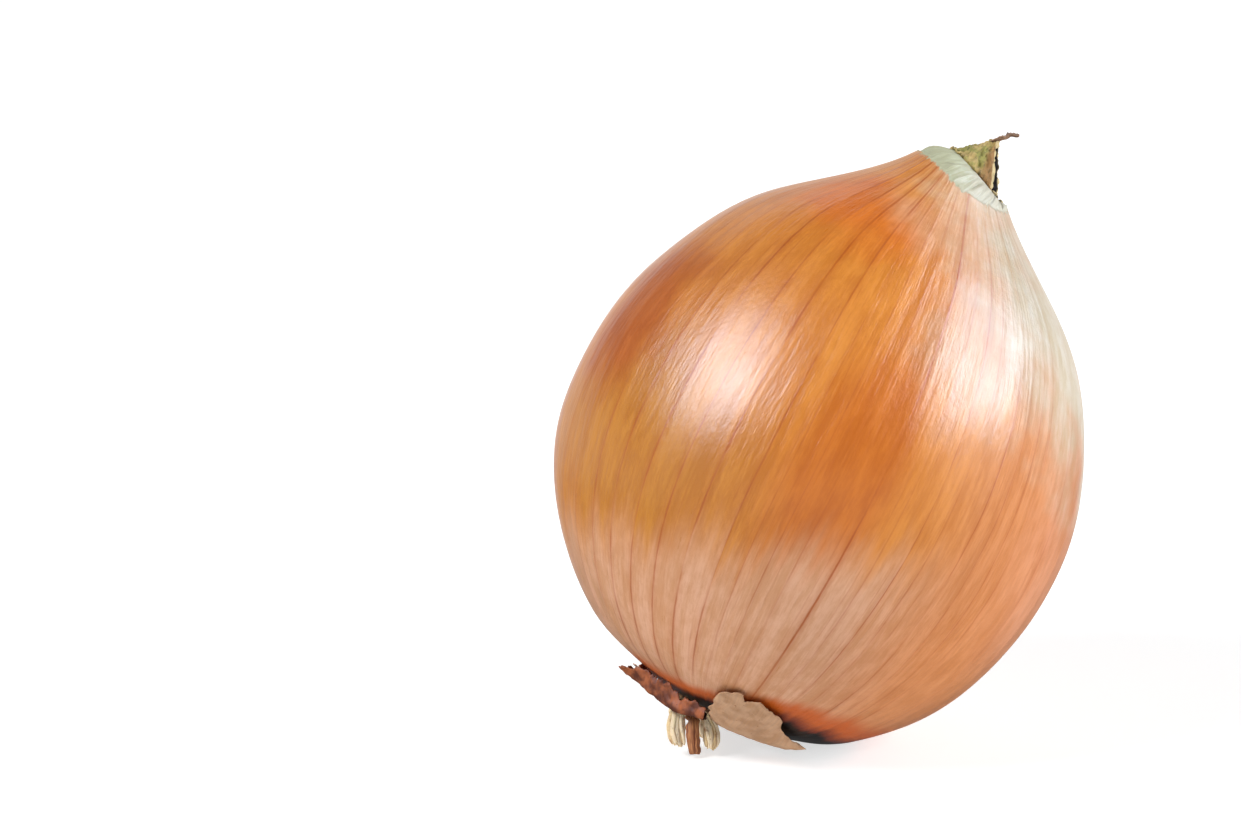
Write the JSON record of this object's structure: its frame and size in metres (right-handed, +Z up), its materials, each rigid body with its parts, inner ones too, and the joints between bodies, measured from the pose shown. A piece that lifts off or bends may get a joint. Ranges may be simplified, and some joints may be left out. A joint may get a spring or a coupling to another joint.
{
  "type": "onion",
  "caption": "Whole brown onion with dry papery skin, a pointed dried neck and trimmed roots, leaning over on a small flat spot.",
  "frame": {"origin": "centre of the small flat spot that the onion rests on, at the surface it stands on", "axes": "+Z up from the flat spot; the neck leans over towards +X and a little towards +Y, and the trimmed roots are low down at -X; -Y is the side with the torn front flake"},
  "size_m": [0.0805, 0.0797, 0.0914],
  "materials": {
    "skin": "satin golden-brown dry onion skin with fine darker veins from root to neck, paler towards the roots",
    "dried_neck": "matt, fibrous, olive and brown dried leaf bases",
    "neck_shred": "matt dry brown leaf shred",
    "root_plate": "matt corky brown",
    "roots": "matt cream dried root clumps, browner at the ends",
    "dark_root": "matt brown dried root strand",
    "torn_skin": "dry papery tan skin with a torn edge",
    "dark_torn_skin": "dry papery dark red-brown skin with a torn edge",
    "pale_torn_skin": "dry papery pale skin with a torn edge"
  },
  "bodies": {
    "root": {"bulb": "skin", "neck_stub": "dried_neck", "neck_shred": "neck_shred", "root_plate": "root_plate", "root_lobe_left": "roots", "root_lobe_right": "roots", "root_lobe_middle": "roots", "root_lobe_back": "roots", "root_strap": "dark_root", "skin_flake_front": "torn_skin", "skin_flake_left": "dark_torn_skin", "skin_flake_left_inner": "pale_torn_skin", "skin_flake_back": "dark_torn_skin"}
  },
  "joints": []
}
